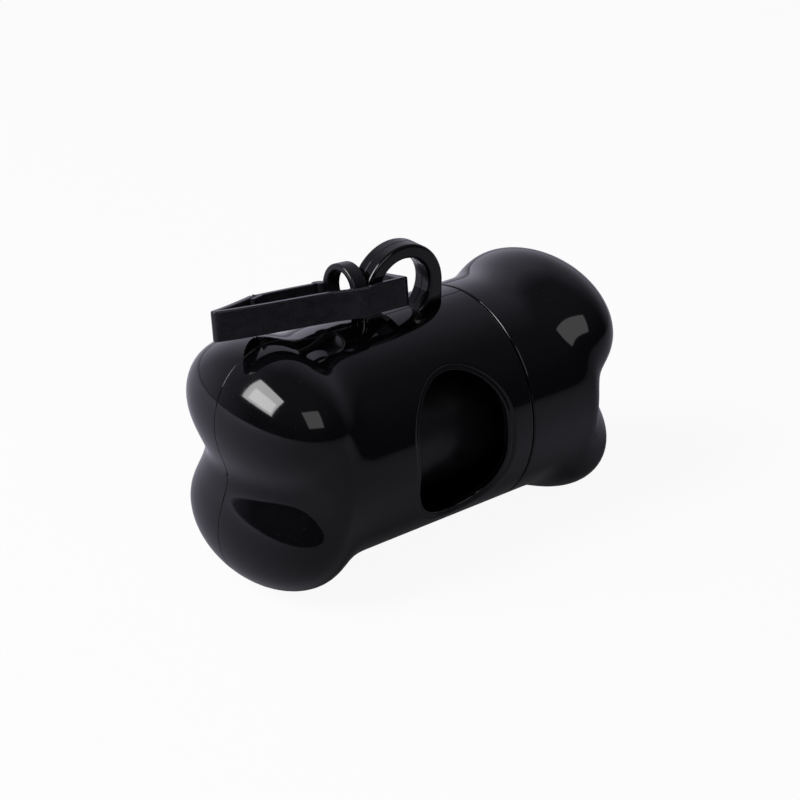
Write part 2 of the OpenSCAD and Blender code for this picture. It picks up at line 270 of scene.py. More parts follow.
# %% The slot and its rounded rim
WINDOW = np.array([-2.6, 1.0])      # middle, along the bone and up
WINDOW_R = 9.7
WINDOW_STRAIGHT = 3.0
RIM = 1.5                           # width of the stepped rim
STEP_R, STEP_LEAN = 0.8, math.radians(50)
STEP_FOOT_R, RIM_EDGE_R = 0.3, 0.5
INNER_EDGE_R = 0.2                  # rounding of the cut's edge inside the barrel
RIM_CROWDING = 1.25                 # above 1, the rings lie closer together near the rim
BORE_R = BARREL_R - WALL
PARTING_X = 12.5
LIP = 0.35                          # rounding of the barrel's end at the parting line
PATCH_X = PARTING_X - 0.9


def slot_edge(theta):
    """Points of the window's edge seen from its middle at angles theta, and the way out."""
    c, s = np.cos(theta), np.sin(theta)
    flat = WINDOW_R / np.maximum(np.abs(c), 1e-9)
    ends = WINDOW_STRAIGHT * np.abs(s) + np.sqrt(
        np.maximum(WINDOW_R ** 2 - (WINDOW_STRAIGHT * c) ** 2, 0))
    reach = np.where(flat * np.abs(s) <= WINDOW_STRAIGHT, flat, ends)
    p = np.stack([reach * c, reach * s], axis=-1)
    centre = np.stack([0 * c, np.clip(p[:, 1], -WINDOW_STRAIGHT, WINDOW_STRAIGHT)], axis=-1)
    out = p - centre
    return p + WINDOW, out / np.linalg.norm(out, axis=-1, keepdims=True)


def on_tube(xz, radius):
    """Points on the front of a tube about the barrel's axis, and the way its surface faces."""
    y = -np.sqrt(radius ** 2 - xz[:, 1] ** 2)
    p = np.stack([xz[:, 0], y, xz[:, 1]], axis=-1)
    return p, np.stack([0 * y, y, xz[:, 1]], axis=-1) / radius


def rim_rows():
    """The rim as (distance from the edge, depth, lean): over a step, then round into the wall."""
    rows = [(RIM - STEP_R * math.sin(a), STEP_R * (1 - math.cos(a)), a)
            for a in np.linspace(0, STEP_LEAN, 6)[1:]]
    in_from, deep_from, _ = rows[-1]
    rows += [(in_from - STEP_FOOT_R * (math.sin(STEP_LEAN) - math.sin(a)),
              deep_from + STEP_FOOT_R * (math.cos(a) - math.cos(STEP_LEAN)), a)
             for a in np.linspace(STEP_LEAN, 0, 5)[1:]]
    deep = rows[-1][1]
    return rows + [(RIM_EDGE_R * (1 - math.sin(a)), deep + RIM_EDGE_R * (1 - math.cos(a)), a)
                   for a in np.radians(np.linspace(0, 90, 7))]


def window_patch(skin, x_steps):
    """The wall round the window: its outer side, the rim, the cut and its inner side."""
    turn = columns(BARREL_R)[BESIDE_SEAM:-BESIDE_SEAM]
    x_up, x_low = x_steps, x_steps[::-1]
    target = np.concatenate([
        np.stack([0 * turn[:-1] - PLAIN_X, turn[::-1][:-1]], axis=-1),
        np.stack([x_up[:-1], 0 * x_up[:-1] + turn[0]], axis=-1),
        np.stack([0 * turn[:-1] + PATCH_X, turn[:-1]], axis=-1),
        np.stack([x_low[:-1], 0 * x_low[:-1] + turn[-1]], axis=-1)])
    arc = BARREL_R * (math.pi / 2 - target[:, 1])
    theta = np.arctan2(arc - WINDOW[1], target[:, 0] - WINDOW[0])
    edge, out = slot_edge(theta)
    rim_outer = edge + RIM * out
    rim_turn = np.arccos(rim_outer[:, 1] / BARREL_R)
    start = np.stack([rim_outer[:, 0], rim_turn], axis=-1)
    points, facing = [], []
    for share in np.linspace(0, 1, 25):
        xt = target + (start - target) * (1 - (1 - share) ** RIM_CROWDING)
        p, n = around(xt[:, 0], xt[:, 1], side=-1)
        points.append(p)
        facing.append(n)
    outward = np.stack([out[:, 0], 0 * out[:, 0], out[:, 1]], axis=-1)
    for off_edge, deep, lean in rim_rows():
        p, n = on_tube(edge + off_edge * out, BARREL_R - deep)
        points.append(p)
        facing.append(math.cos(lean) * n - math.sin(lean) * outward)
    for radius in (BARREL_R - deep - 0.1, BORE_R + 0.25):   # straight through the wall
        points.append(on_tube(edge, radius)[0])
        facing.append(-outward)
    for lean in np.radians(np.linspace(0, 90, 5))[1:]:
        p, n = on_tube(edge + INNER_EDGE_R * (1 - math.cos(lean)) * out,
                       BORE_R + INNER_EDGE_R * (1 - math.sin(lean)))
        points.append(p)
        facing.append(-math.cos(lean) * outward - math.sin(lean) * n)
    inner_edge = edge + INNER_EDGE_R * out
    inner_start = np.stack([inner_edge[:, 0], np.arccos(inner_edge[:, 1] / BORE_R)], axis=-1)
    for share in np.linspace(0, 1, 9)[1:]:
        xt = inner_start + (target - inner_start) * share
        p, n = around(xt[:, 0], xt[:, 1], -WALL, side=-1)
        points.append(p)
        facing.append(-n)
    skin.grid(np.swapaxes(points, 0, 1), np.swapaxes(facing, 0, 1))
    skin.grid([[row[-1], row[0]] for row in points], [[row[-1], row[0]] for row in facing])

# %% [markdown]
# ## Ring shapes
# The rib, the posts, the card tube, and the clip's ring and hinge are turned shapes.  A profile
# lists points as distance along the axis and radius, and is revolved over a range of angles.

# %% Turned pieces
def rounded_profile(corners, radius, steps=4):
    """A closed profile with rounded corners, as points and the way each faces."""
    corners = [np.array(c, float) for c in corners]
    area = sum(a[0] * b[1] - a[1] * b[0] for a, b in zip(corners, corners[1:] + corners[:1]))
    if area < 0:
        corners.reverse()
    points, facing = [], []
    for i, here in enumerate(corners):
        before, after = corners[i - 1], corners[(i + 1) % len(corners)]
        a = (here - before) / np.linalg.norm(here - before)
        b = (after - here) / np.linalg.norm(after - here)
        n0, n1 = np.array([a[1], -a[0]]), np.array([b[1], -b[0]])
        for k in range(steps + 1):
            n = n0 * (1 - k / steps) + n1 * (k / steps)
            n = n / np.linalg.norm(n)
            points.append(here + radius * (b - a) + radius * n)
            facing.append(n)
    return np.array(points), np.array(facing)


def turned(skin, profile, facing, angles, axis="x", centre=(0, 0, 0)):
    """Revolves a profile of (along, radius) about an axis; angles run from +Z, or +X for z."""
    closed = abs(angles[-1] - angles[0]) > 2 * math.pi - 1e-6
    angles = angles[:-1] if closed else angles

    def revolve(rows):
        rows = np.concatenate([rows, rows[:1]])
        along, radius = rows[:, 0][:, None] + 0 * angles, rows[:, 1][:, None]
        c, s = radius * np.cos(angles), radius * np.sin(angles)
        return np.stack({"x": (along, s, c), "y": (s, along, c), "z": (c, s, along)}[axis], axis=-1)

    skin.grid(revolve(profile) + np.array(centre), revolve(facing), closed)

# %% [markdown]
# ## The hanger eye
# Each half shell carries half of the eye's thickness.  The eye is a ring on straight sides that
# run down into the barrel, with softened edges, and the weld line runs round its rim.  The rows
# of a half start at the weld inside the hole, go over its face and come down the rim to the weld.

# %% Half of the eye
EYE = np.array([-2.2, 24.2])
EYE_R, EYE_HOLE_R, EYE_T = 8.5, 5.6, 4.4
EYE_SOFT = 0.6
EYE_FOOT = 6.2                      # how far the sides run down from the eye's middle
HOLE_UP = 0.4                       # how far the hole's middle lies above the eye's
EYE_SEAM = 0.14                     # radius of the rounded edge along the eye's weld
eye_seam_steps = [(0.0, 1.0), (0.03, 0.8), (0.08, 0.45), (EYE_SEAM, 0.0)]   # height, lean


def eye_half(skin, side):
    """Adds the eye's half on one side: -1 is the front, 1 the rear."""
    theta = np.radians(np.concatenate([np.arange(-38, 218.1, 2), np.linspace(219, 321, 36)]))
    c, s = np.cos(theta), np.sin(theta)
    half = EYE_T / 2

    def outline(inset):
        sides = (EYE_R - inset) / np.maximum(np.abs(c), 1e-9)
        foot = EYE_FOOT / np.maximum(-s, 1e-9)
        return np.where(s >= 0, EYE_R - inset, np.minimum(sides, foot))

    def upright(lean):
        return math.sqrt(1 - lean ** 2)

    hole = HOLE_UP * s + np.sqrt(EYE_HOLE_R ** 2 - (HOLE_UP * c) ** 2)
    hole_n = np.stack([-c, -s], -1)
    side_n = np.where((s < 0)[:, None], np.stack([np.sign(c), 0 * c], -1), np.stack([c, s], -1))
    soft = [(0.0, 0.0)] + [(EYE_SOFT * (1 - math.cos(a)), EYE_SOFT * math.sin(a))
                           for a in np.radians([15, 30, 45, 60, 75, 90])]
    rows = []                           # each row: radius, height, the way it faces and its lean
    for y, lean in eye_seam_steps:
        inset = EYE_SEAM * (1 - upright(lean))
        rows.append((hole + inset, y, hole_n * upright(lean), -lean))
    for inset, rise in soft:
        lean = rise / EYE_SOFT
        rows.append((hole + inset, half - EYE_SOFT + rise, hole_n * upright(lean), lean))
    for inset, rise in reversed(soft):
        lean = rise / EYE_SOFT
        rows.append((outline(inset), half - EYE_SOFT + rise, side_n * upright(lean), lean))
    for y, lean in reversed(eye_seam_steps):
        inset = EYE_SEAM * (1 - upright(lean))
        rows.append((outline(inset), y, side_n * upright(lean), -lean))
    rows.append((hole + EYE_SEAM, 0.0, 0 * side_n, -1.0))
    points = [np.stack([EYE[0] + r * c, 0 * c + side * y, EYE[1] + r * s], -1)
              for r, y, _, _ in rows]
    facing = [np.stack([n[:, 0], 0 * c + side * lean, n[:, 1]], -1) for _, _, n, lean in rows]
    skin.grid(points, facing, closed=True)

# %% [markdown]
# ### Both halves
# Each half is an outer and an inner skin with the wall between, half of the rib that holds the
# neck, and half of the eye.  Only the front half has the window.  Two hollow posts in the left
# end, half in either shell, line the halves up for welding.

# %% Front and rear half shells
NECK_BORE_R = 14.9
RIB_X, RIB_T, RIB_ROOT = -16.6, 1.6, 0.5
POST = np.array([-31.5, 11.4])      # the two posts, along the bone and up or down
POST_R, POST_BORE_R = 2.2, 1.25
POST_FROM, POST_TO = 0.02, 15.9
end_stations = -np.linspace(TIP_X, PLAIN_X, 26)[1:]
patch_stations = np.linspace(-PLAIN_X, PATCH_X, 31)
lip_lean = np.radians([0, 15, 30, 45, 60, 75, 90])


def half_shell(name, side):
    """One half of the body, with its half of the rib and of the eye, and its two posts."""
    skin = Skin()
    skin.grid(*edge_rows(end_stations, side, 0.0, True, fan_rows=34))
    p, n = edge_rows(end_stations[::2], side, -WALL, False, fan_rows=14)
    skin.grid(p, -n)
    if side < 0:
        p, n = edge_rows(patch_stations, side, 0.0, True)
        q, m = edge_rows(patch_stations, side, -WALL, False)
        for strip in (slice(0, BESIDE_SEAM + 1), slice(-BESIDE_SEAM - 1, None)):
            skin.grid(p[:, strip], n[:, strip])
            skin.grid(q[:, strip], -m[:, strip])
        window_patch(skin, patch_stations)
    else:
        skin.grid(*edge_rows(patch_stations, side, 0.0, True))
        p, n = edge_rows(patch_stations, side, -WALL, False)
        skin.grid(p, -n)
    skin.grid(*edge_rows([PATCH_X, PARTING_X - LIP], side, 0.0, True))
    p, n = edge_rows([PARTING_X - LIP] * len(lip_lean), side, 0.0, True)
    for i, a in enumerate(lip_lean):
        radial = p[i] * [0, 1, 1]
        radial /= np.linalg.norm(radial, axis=-1, keepdims=True)
        p[i] += radial * (-LIP * (1 - math.cos(a))) + np.array([LIP * math.sin(a), 0, 0])
        n[i] = n[i] * math.cos(a) + np.array([math.sin(a), 0, 0])
    skin.grid(p, n)
    inner = p[-1] * [1, 0, 0] + radial * BORE_R
    skin.grid([p[-1], inner], [[(1, 0, 0)] * len(inner)] * 2)
    skin.grid([inner, inner * [0, 1, 1] + [PATCH_X, 0, 0]], [-radial, -radial])
    half_turn = np.linspace(0, math.pi, 61) * side
    rib = rounded_profile([(RIB_X, NECK_BORE_R), (RIB_X + RIB_T, NECK_BORE_R),
                           (RIB_X + RIB_T, BORE_R + RIB_ROOT), (RIB_X, BORE_R + RIB_ROOT)], 0.3)
    turned(skin, *rib, half_turn)
    post = rounded_profile([(POST_FROM, POST_BORE_R), (POST_FROM, POST_R),
                            (POST_TO, POST_R), (POST_TO, POST_BORE_R)], 0.15)
    for up in (-1, 1):
        turned(skin, post[0] * [side, 1], post[1] * [side, 1], np.linspace(0, 2 * math.pi, 33),
               "y", (POST[0], 0, up * POST[1]))
    eye_half(skin, side)
    return skin.piece(name + "_skin", "barrel", name, slot="shell_plastic")


front_shell = half_shell("front_shell", -1)
rear_shell = half_shell("rear_shell", 1)

# %% [markdown]
# ## The cap
# The cap is one moulding, so no weld line crosses it.  Its edge is rounded like the barrel's, and
# the two rounded edges with the narrow gap between them draw the dark circle round the bone.

# %% Cap shell
CAP_X = PARTING_X + 0.2             # the gap at the parting line
SLEEVE_END = 22.8


def whole_rows(stations, level, fan_rows):
    """Rows all the way round the right end: a fan over its tip, then rows at the stations."""
    turn = np.linspace(0, 2 * math.pi, CAP_COLUMNS + 1)[:-1]
    rows = [surface(np.array([TIP_X, 0, 0]), rays(turn, 1, math.cos(a), math.sin(a)), level)
            for a in np.linspace(CAP_FAN_FROM, math.pi / 2, fan_rows)]
    rows += [around(x, turn, level) for x in stations]
    return np.array([p for p, _ in rows]), np.array([n for _, n in rows])


cap = Skin()
outer_p, outer_n = whole_rows(np.linspace(TIP_X, CAP_X + LIP, 36)[1:], 0.0, 40)
last_p, last_n = outer_p[-1], outer_n[-1]
outward = last_p * [0, 1, 1] / np.linalg.norm(last_p[:, 1:], axis=-1, keepdims=True)
lip_p = [last_p - outward * LIP * (1 - math.cos(a)) - [LIP * math.sin(a), 0, 0]
         for a in lip_lean[1:]]
lip_n = [last_n * math.cos(a) - [math.sin(a), 0, 0] for a in lip_lean[1:]]
cap.grid(np.concatenate([outer_p, lip_p]), np.concatenate([outer_n, lip_n]), closed=True)
cap.lid(outer_p[0], (1, 0, 0))
mouth = outward * BORE_R + [CAP_X, 0, 0]
deep = outward * BORE_R + [SLEEVE_END, 0, 0]
cap.grid([lip_p[-1], mouth], [[(-1, 0, 0)] * len(mouth)] * 2, closed=True)
cap.grid([mouth, deep], [-outward, -outward], closed=True)
inner_p, inner_n = whole_rows(np.linspace(TIP_X, SLEEVE_END, 8)[1:], -WALL, 14)
cap.grid(inner_p, -inner_n, closed=True)
cap.grid([inner_p[-1], deep], [[(-1, 0, 0)] * len(deep)] * 2, closed=True)
cap_shell = cap.piece("cap_skin", "cap", "cap_shell", slot="shell_plastic")

# %% [markdown]
# ## The screw thread
# The cap closes in two turns and travels 10 mm, so the thread climbs 5 mm a turn.  The ridge on
# the neck and the ridge in the cap are the same helix, half a turn apart, so they slide past each
# other all the way.

# %% Thread ridges
LEAD = 5.0
RIDGE_HALF = 0.85                   # half of a ridge's width
RIDGE_ROOT = 0.05                   # how deep a ridge starts inside the wall that carries it
RUN_OUT = 0.5                       # angle over which a ridge fades at its ends
# Across a ridge: place in halves of its width, share of its height, and how far it faces along.
RIDGE = ((-1, 0.0, -0.85), (-0.55, 0.82, -0.75), (-0.4, 1.0, -0.25),
         (0.4, 1.0, 0.25), (0.55, 0.82, 0.75), (1, 0.0, 0.85))


def thread(name, body, root, crest, x_from, x_to, phase):
    """A helical ridge from the radius root to the radius crest, fading out at both ends."""
    skin = Skin()
    turns = (x_to - x_from) / LEAD
    angle = np.linspace(0, 2 * math.pi * turns, int(72 * turns) + 1)
    fade = np.clip(np.minimum(angle, angle[-1] - angle) / RUN_OUT, 0, 1)
    top = root + (crest - root) * (0.02 + 0.98 * fade)
    grow = np.sign(crest - root)
    s, c = np.sin(angle + phase), np.cos(angle + phase)
    points, facing = [], []
    for across, up, tilt in RIDGE:
        radius = root - grow * RIDGE_ROOT + (top - root) * up
        x = x_from + angle / (2 * math.pi) * LEAD + RIDGE_HALF * across
        points.append(np.stack([x, radius * s, radius * c], -1))
        straight = math.sqrt(1 - tilt ** 2) * grow
        facing.append(np.stack([tilt + 0 * angle, straight * s, straight * c], -1))
    skin.grid(points, facing)
    return skin.piece(name, body, slot="shell_plastic")


neck_thread = thread("neck_thread", "barrel", 16.2, 16.75, 13.6, 21.0, 0.0)
cap_thread = thread("cap_thread", "cap", 16.85, 16.35, 14.2, 21.6, math.pi + 0.75)

# %% [markdown]
# ## The roll of bags
# The bags are thin black film, folded and wound on a card tube.  The folds make the roll
# slightly uneven all round, and its ends are rounded off and rise a little towards the tube.

# %% Card core and film roll
ROLL_Z = -2.6
ROLL_R = 12.0
CORE_R, CORE_WALL = 5.0, 1.0
ROLL_X = (-28.0, 27.0)
CORE_STANDS_OUT = 0.5               # how far the tube stands out at either end of the film
FILM_ON_CORE = 0.06                 # air between the tube and the film
END_RISE = 0.3                      # how far the film's ends rise towards the tube

core = Skin()
core_from, core_to = ROLL_X[0] - CORE_STANDS_OUT, ROLL_X[1] + CORE_STANDS_OUT
core_profile = rounded_profile([(core_from, CORE_R - CORE_WALL), (core_to, CORE_R - CORE_WALL),
                                (core_to, CORE_R), (core_from, CORE_R)], 0.15)
turned(core, *core_profile, np.linspace(0, 2 * math.pi, 97), "x", (0, 0, ROLL_Z))
roll_core = core.piece("card_core", "roll", "roll_core", slot="core_board")

roll = Skin()
turn = np.linspace(0, 2 * math.pi, 241)[:-1]
s, c = np.sin(turn), np.cos(turn)
folds = 0.10 * np.sin(3 * turn + 0.4) + 0.05 * np.sin(7 * turn + 1.9) - 0.16
along = np.concatenate([[0, 0.08, 0.3, 0.7], np.linspace(1.4, 53.6, 44), [54.3, 54.7, 54.92, 55]])
end_drop = np.array([0.55, 0.3, 0.1, 0.02] + [0] * 44 + [0.02, 0.1, 0.3, 0.55])
x_roll = ROLL_X[0] + along
ripple = 0.03 * np.sin(x_roll[:, None] * 0.9 + 2.2 * np.sin(2 * turn)[None, :])
radius = ROLL_R + folds[None, :] + ripple - end_drop[:, None]
points = np.stack([x_roll[:, None] + 0 * radius, radius * s, ROLL_Z + radius * c], -1)
slope_x = np.gradient(radius, x_roll, axis=0)
slope_t = (np.roll(radius, -1, 1) - np.roll(radius, 1, 1)) / (2 * (turn[1] - turn[0])) / radius
roll.grid(points, np.stack([-slope_x, s - slope_t * c, c + slope_t * s], -1), closed=True)
inner_r = CORE_R + FILM_ON_CORE
for x, way, row in ((ROLL_X[0], -1, 0), (ROLL_X[1], 1, -1)):
    ring = np.stack([x + END_RISE * way + 0 * turn, inner_r * s, ROLL_Z + inner_r * c], -1)
    roll.grid([points[row], ring], [[(way, 0, 0)] * len(turn)] * 2, closed=True)
bag_roll = roll.piece("film_roll", "roll", "bag_roll", slot="bag_film")

# %% [markdown]
# ## The clip
# The clip is a flat band that runs through the eye, past a small ring, and round a pointed nose.
# A band is described by its outer edge, seen from above, and its thickness.  The path runs from
# the ring round the square right end, along the front and round the nose.  In the clip's own
# space x runs along the clip from the left, y from front to rear and z up.

# %% The clip's own space
def cubic(p, count):
    """Points along the curve that four control points draw."""
    t = np.linspace(0, 1, count)[:, None]
    p = [np.array(q, float) for q in p]
    return ((1 - t) ** 3 * p[0] + 3 * (1 - t) ** 2 * t * p[1]
            + 3 * (1 - t) * t ** 2 * p[2] + t ** 3 * p[3])


BAND_TOP, BAND_LOW, BAND_T, BAND_SOFT = 2.8, -2.25, 1.2, 0.28
CLIP_LEN, FRONT_RUN, REAR_RUN = 37.0, 3.9, 4.9
END_X, CLOSURE_T = -0.6, 1.6
RING_X, RING_W, RING_R, RING_HOLE_R = -11.3, 3.0, 4.45, 3.2
RING_MID = np.array([1.9, 1.75])    # across the band and up
RING_REAR = RING_MID[0] + RING_R
BUMP_X, BUMP_Y = (-12.3, -8.3), -5.1    # the front run stands out here, beside the ring
NOSE_R = 0.9
NOSE = np.array([NOSE_R - CLIP_LEN, 1.7])
NOSE_END = np.array([-25.85, 7.2])
HINGE = np.array([RING_X - 1, RING_REAR - 0.5])
KNUCKLE_R = 0.75
KNUCKLE_GAP, SOCKET_WALL = 0.05, 0.45
SOCKET_FROM, SOCKET_TO = math.radians(222), math.radians(508)   # open towards the gate
CORNER_R = 0.5
clip_place = np.array(Matrix.Translation((-2, 0, 24)) @ Matrix.Rotation(math.radians(4), 4, "Y")
                      @ Matrix.Rotation(math.radians(-12), 4, "X"))


def inward_of(line):
    """The way from an outer edge to its inner edge, at each point of the line."""
    step = np.gradient(line, axis=0)
    step /= np.linalg.norm(step, axis=1, keepdims=True)
    return np.stack([step[:, 1], -step[:, 0]], -1)


def band(skin, outer, inner, soft=BAND_SOFT, ends=(True, True), lower_top=0.0):
    """A band between two edges seen from above, with softened edges and flat ends."""
    top = BAND_TOP - lower_top + np.zeros(len(outer))
    across = inner - outer
    width = np.linalg.norm(across, axis=1, keepdims=True)
    across = across / width
    rows, facing = [], []
    for far, high, start in ((0, 0, 270), (0, 1, 180), (1, 1, 90), (1, 0, 0)):
        for a in np.radians(np.linspace(start, start - 90, 5)):
            base = outer + across * (width - soft if far else soft)
            level = (top - soft if high else BAND_LOW + soft) + soft * math.sin(a) + 0 * top
            lean = np.full((len(outer), 1), math.sin(a))
            rows.append(np.concatenate([base + across * (soft * math.cos(a)), level[:, None]], 1))
            facing.append(np.concatenate([across * math.cos(a), lean], 1))
    rows.append(rows[0])
    facing.append(facing[0])
    skin.grid(rows, facing)
    for used, index, sign in ((ends[0], 0, -1), (ends[1], -1, 1)):
        if used:
            ring = np.array([r[index] for r in rows[:-1]])
            step = outer[1] - outer[0] if index == 0 else outer[-1] - outer[-2]
            step = sign * step / np.linalg.norm(step)
            skin.lid(ring, (step[0], step[1], 0))


def corner(outer_corner, inner_corner, radius, a0, a1):
    """Edge points round a square corner: an arc outside, and one point inside."""
    way = np.sign(inner_corner - outer_corner)
    centre = outer_corner + way * radius
    angles = np.radians(np.linspace(a0, a1, 7))
    outer = centre + radius * np.stack([np.cos(angles), np.sin(angles)], -1)
    return outer, np.repeat([inner_corner], len(angles), axis=0)


# %% [markdown]
# ### The clip's frame
# Control points draw its long front run and its nose.  Two bands join at the nose's tip, and the
# ring and the gate's socket are turned.

# %% Clip frame
front_curve = cubic([(BUMP_X[0], BUMP_Y), (-16, -2.1), (-27, -2.4),
                     NOSE + [-0.2, -NOSE_R + 0.03]], 33)
nose_curve = cubic([NOSE + [-0.5, 0.75], NOSE + [2.6, 1.7], NOSE_END - [4.1, 2.1], NOSE_END], 17)
nose_turn = np.radians([215, 190, 165])
nose_arc = NOSE + NOSE_R * np.stack([np.cos(nose_turn), np.sin(nose_turn)], -1)
stub = np.array([(RING_X, RING_REAR), (RING_X + RING_W, RING_REAR - 0.1),
                 (RING_X + RING_W + 1, REAR_RUN + 0.3), (END_X - 4, REAR_RUN + 0.1),
                 (END_X - 2.4, REAR_RUN + 0.07), (END_X - 1.2, REAR_RUN + 0.05)])
STUB_LOW = (2.1, 2.1, 2.1, 1.9, 0.5, 0.0)   # how far the stub's top lies below the band's
front = np.array([(END_X - 1.2, -FRONT_RUN - 0.05), (BUMP_X[1] + 1, -FRONT_RUN - 0.4),
                  (BUMP_X[1], BUMP_Y)])
stub_in, front_in = stub + [0, -BAND_T], front + [0, BAND_T]
rear_corner = corner(np.array([END_X, REAR_RUN]),
                     np.array([END_X - CLOSURE_T, REAR_RUN - BAND_T]), CORNER_R, 90, 0)
front_corner = corner(np.array([END_X, -FRONT_RUN]),
                      np.array([END_X - CLOSURE_T, -FRONT_RUN + BAND_T]), CORNER_R, 0, -90)
curve_in = front_curve + BAND_T * inward_of(front_curve)
nose_in = nose_curve + BAND_T * inward_of(nose_curve)
clip = Skin()
outer_line = np.concatenate([stub, rear_corner[0], front_corner[0], front, front_curve])
inner_line = np.concatenate([stub_in, rear_corner[1], front_corner[1], front_in, curve_in])
band(clip, outer_line, inner_line, ends=(True, False),
     lower_top=np.pad(STUB_LOW, (0, len(outer_line) - len(STUB_LOW))))
nose_inner = (curve_in[-1] + nose_in[0]) / 2
band(clip, np.concatenate([front_curve[-1:], nose_arc, nose_curve]),
     np.concatenate([curve_in[-1:], [nose_inner] * len(nose_arc), nose_in]))
ring_profile = rounded_profile([(RING_X, RING_HOLE_R), (RING_X + RING_W, RING_HOLE_R),
                                (RING_X + RING_W, RING_R), (RING_X, RING_R)], 0.4, 5)
turned(clip, *ring_profile, np.linspace(0, 2 * math.pi, 97), "x", (0, RING_MID[0], RING_MID[1]))
socket_r = KNUCKLE_R + KNUCKLE_GAP
socket = rounded_profile([(BAND_LOW, socket_r), (BAND_TOP, socket_r),
                          (BAND_TOP, socket_r + SOCKET_WALL),
                          (BAND_LOW, socket_r + SOCKET_WALL)], 0.15)
turned(clip, *socket, np.linspace(SOCKET_FROM, SOCKET_TO, 49), "z", (HINGE[0], HINGE[1], 0))
clip_frame = clip.piece("clip_band", "clip", "clip_frame", slot="clip_plastic", place=clip_place)

# %% [markdown]
# ### The clip's gate
# The gate is a band of its own, which ends in a tongue behind the nose and in a round knuckle
# that turns in the socket.

# %% Clip gate
nose_dir = nose_curve[-1] - nose_curve[-2]
nose_dir = nose_dir / np.linalg.norm(nose_dir)
nose_side = np.array([nose_dir[1], -nose_dir[0]])
gate_curve = cubic([NOSE_END + 0.2 * nose_side, NOSE_END + [4.5, -0.2],
                    HINGE + [-6, 1], HINGE + [-1.6, 0.5]], 25)
gate_in = gate_curve + BAND_T * inward_of(gate_curve)
gap = 0.3                           # between the gate's end and the nose
# The gate's end is cut on a slant, beside the nose.
gate_curve[0] = NOSE_END + (gap + 0.65 * BAND_T) * nose_dir + 0.08 * nose_side
gate_in[0] = NOSE_END + gap * nose_dir + (BAND_T + gap) * nose_side
neck = np.array([HINGE + [-1.2, 0.36], HINGE + [0, 0.33]])
neck_in = np.array([HINGE + [-1.2, -0.38], HINGE + [0, -0.33]])
gate = Skin()
band(gate, np.concatenate([gate_curve, neck]), np.concatenate([gate_in, neck_in]), soft=0.22)
tongue_line = np.array([NOSE_END + k * nose_dir + (BAND_T + gap) * nose_side
                        for k in (-2.4, -2.2, 0.3, 0.9)])
tongue_in = tongue_line + 0.8 * nose_side
tongue_in[0] += 0.1 * nose_dir
band(gate, tongue_line, tongue_in, soft=0.18)
knuckle = rounded_profile([(BAND_LOW, 0.02), (BAND_TOP, 0.02),
                           (BAND_TOP, KNUCKLE_R), (BAND_LOW, KNUCKLE_R)], 0.01, 2)
turned(gate, *knuckle, np.linspace(0, 2 * math.pi, 33), "z", (HINGE[0], HINGE[1], 0))
clip_gate = gate.piece("clip_spring_gate", "gate", "clip_gate", slot="clip_plastic",
                       place=clip_place)

# %% [markdown]
# ## Materials
# Colours are written as sRGB hex values and turned to the linear values that the renderer wants.
# One helper adds a node with its settings and links.  A node's inputs are given by their names,
# so a material reads like the list of what the real surface has.

# %% Material helpers
PER_MM = 1000.0                     # a texture scale of 1000 repeats once in a millimetre
NOISE_RANGE = (0.3, 0.7)            # most of a noise lies between these
DUST_RANGE = (0.70, 0.76)           # only its highest peaks become specks


def srgb(text):
    parts = [int(text[i:i + 2], 16) / 255 for i in (1, 3, 5)]
    linear = [c / 12.92 if c <= 0.04045 else ((c + 0.055) / 1.055) ** 2.4 for c in parts]
    return (*linear, 1.0)


def add_node(tree, kind, settings=None, stops=(), **inputs):
    """Adds a node; inputs are values or links by socket name, or by number as in i0.

    The stops of a colour ramp are pairs of a position and an sRGB colour.
    """
    node = tree.nodes.new(kind)
    for name, value in (settings or {}).items():
        setattr(node, name, value)
    while stops and len(node.color_ramp.elements) < len(stops):
        node.color_ramp.elements.new(0.5)
    for element, (position, colour) in zip(node.color_ramp.elements if stops else (), stops):
        element.position, element.color = position, srgb(colour)
    for name, value in inputs.items():
        numbered = name[0] == "i" and name[1:].isdigit()
        socket = node.inputs[int(name[1:]) if numbered else name.replace("_", " ")]
        if isinstance(value, bpy.types.NodeSocket):
            tree.links.new(value, socket)
        else:
            socket.default_value = value
    return node


def new_material(name):
    material = bpy.data.materials.new(name)
    material.use_nodes = True
    tree = material.node_tree
    tree.nodes.clear()
    shader = add_node(tree, "ShaderNodeBsdfPrincipled")
    add_node(tree, "ShaderNodeOutputMaterial", Surface=shader.outputs[0])
    place = add_node(tree, "ShaderNodeTexCoord").outputs["Object"]
    return material, tree, shader, place


def relieve(tree, shader, relief, rough, strength, depth):
    """Lets a relief bend the light and vary the roughness between the two values of rough."""
    roughness = add_node(tree, "ShaderNodeMapRange", Value=relief, From_Min=NOISE_RANGE[0],
                         From_Max=NOISE_RANGE[1], To_Min=rough[0], To_Max=rough[1])
    tree.links.new(roughness.outputs["Result"], shader.inputs["Roughness"])
    bump = add_node(tree, "ShaderNodeBump", Height=relief, Strength=strength, Distance=depth)
    tree.links.new(bump.outputs["Normal"], shader.inputs["Normal"])

# %% [markdown]
# ### Polished black ABS
# The shells are injection moulded in a polished steel mould, so they mirror the room sharply at
# the 4% that plastic reflects.  Close up, the skin has a very shallow waviness, about 8 mm long,
# and specks of dust that stay on after handling, drawn 0.4 mm wide so that they can show.  Both
# are noises in the object's own space, so they need no unwrapping.

